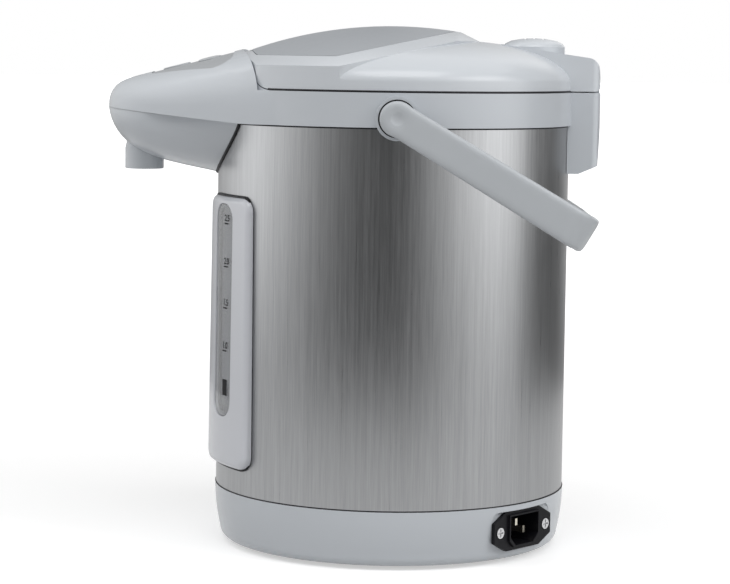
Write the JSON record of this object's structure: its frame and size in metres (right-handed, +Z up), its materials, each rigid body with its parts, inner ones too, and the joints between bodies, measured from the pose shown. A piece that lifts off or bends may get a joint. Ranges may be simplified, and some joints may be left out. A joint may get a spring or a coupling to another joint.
{
  "type": "electric thermo pot",
  "caption": "Electric airpot that heats water and pumps it out of a front nozzle, with a brushed steel jacket, hinged lid, hand pump plate, swing handle and level gauge.",
  "frame": {"origin": "centre of the foot ring, on the surface that the pot stands on", "axes": "+Z up, -Y towards the spout, +Y towards the lid hinge, +X to the side with the mains inlet"},
  "size_m": [0.224, 0.2784, 0.2946],
  "materials": {
    "grey_plastic": "moulded light grey plastic with a soft gloss",
    "crown_plastic": "darker grey moulded plastic",
    "handle_plastic": "satin grey moulded plastic",
    "key_plastic": "grey moulded key plastic",
    "panel_film": "fine matt grey keypad film",
    "white_plastic": "white moulded plastic",
    "black_plastic": "black moulded plastic",
    "black_trim": "black gasket trim",
    "brushed_jacket": "stainless steel brushed along the height",
    "vessel_steel": "satin stainless steel",
    "bright_steel": "plated steel",
    "motor_steel": "zinc plated can",
    "brass_pins": "plated brass blades",
    "clear_window": "clear plastic window",
    "clear_tube": "clear glass sight tube",
    "light_lens": "tinted indicator lens",
    "silicone": "translucent white silicone",
    "foot_rubber": "matt black rubber",
    "circuit_board": "green circuit board with parts"
  },
  "bodies": {
    "pot": {"foot_ring": "foot_rubber", "base_plate": "grey_plastic", "base_screws": "bright_steel", "base_shell": "grey_plastic", "jacket": "brushed_jacket", "top_housing": "grey_plastic", "nose_lower": "grey_plastic", "nozzle": "grey_plastic", "control_panel": "panel_film", "panel_lights": "light_lens", "control_board": "circuit_board", "gauge_frame": "black_trim", "gauge_cover": "white_plastic", "gauge_lens": "clear_window", "gauge_tube": "clear_tube", "outlet_pipe": "silicone", "vessel": "vessel_steel", "vessel_pan": "vessel_steel", "vessel_neck": "vessel_steel", "heater": "bright_steel", "thermostat": "black_plastic", "pump_housing": "white_plastic", "pump_motor": "motor_steel", "feed_hose": "silicone", "power_board": "circuit_board", "inlet_socket": "black_plastic", "inlet_pins": "brass_pins", "inlet_screws": "bright_steel", "pivot_pins": "bright_steel", "hinge_pin": "bright_steel"},
    "lid": {"lid_shell": "grey_plastic", "lid_deck": "white_plastic", "inner_lid": "vessel_steel", "lid_seal": "silicone", "air_valve": "silicone", "steam_vent": "grey_plastic", "bellows": "silicone", "pump_spring": "bright_steel"},
    "press": {"press_plate": "crown_plastic"},
    "release": {"release_bar": "key_plastic"},
    "dispense_button": {"dispense_button": "key_plastic"},
    "reboil_button": {"reboil_button": "key_plastic"},
    "lock_button": {"lock_button": "key_plastic"},
    "pump_rotor": {"impeller": "white_plastic"},
    "handle": {"handle": "handle_plastic"}
  },
  "joints": [
    {"name": "lid_hinge", "type": "hinge", "parent": "pot", "child": "lid", "pos_m": [0, 0.1126, 0.2624], "axis": [-1, 0, 0], "range_deg": [0, 95]},
    {"name": "press_slide", "type": "slide", "parent": "lid", "child": "press", "axis": [0, 0, -1], "range_m": [0, 0.009], "stiffness_N_per_m": 600, "springref_m": -0.004, "deforming": ["bellows", "pump_spring"]},
    {"name": "release_slide", "type": "slide", "parent": "lid", "child": "release", "axis": [0, 0, -1], "range_m": [0, 0.002], "stiffness_N_per_m": 500},
    {"name": "dispense_press", "type": "slide", "parent": "pot", "child": "dispense_button", "axis": [0, 0.2516, -0.9678], "range_m": [0, 0.001], "stiffness_N_per_m": 400},
    {"name": "reboil_press", "type": "slide", "parent": "pot", "child": "reboil_button", "axis": [0.0603, 0.2512, -0.9661], "range_m": [0, 0.001], "stiffness_N_per_m": 400},
    {"name": "lock_press", "type": "slide", "parent": "pot", "child": "lock_button", "axis": [-0.0603, 0.2512, -0.9661], "range_m": [0, 0.001], "stiffness_N_per_m": 400},
    {"name": "rotor_spin", "type": "hinge", "parent": "pot", "child": "pump_rotor", "pos_m": [0.02968, -0.06085, 0.029], "axis": [0, 0, 1], "continuous": true},
    {"name": "handle_swing", "type": "hinge", "parent": "pot", "child": "handle", "pos_m": [0, 0, 0.245], "axis": [1, 0, 0], "range_deg": [0, 150]}
  ]
}
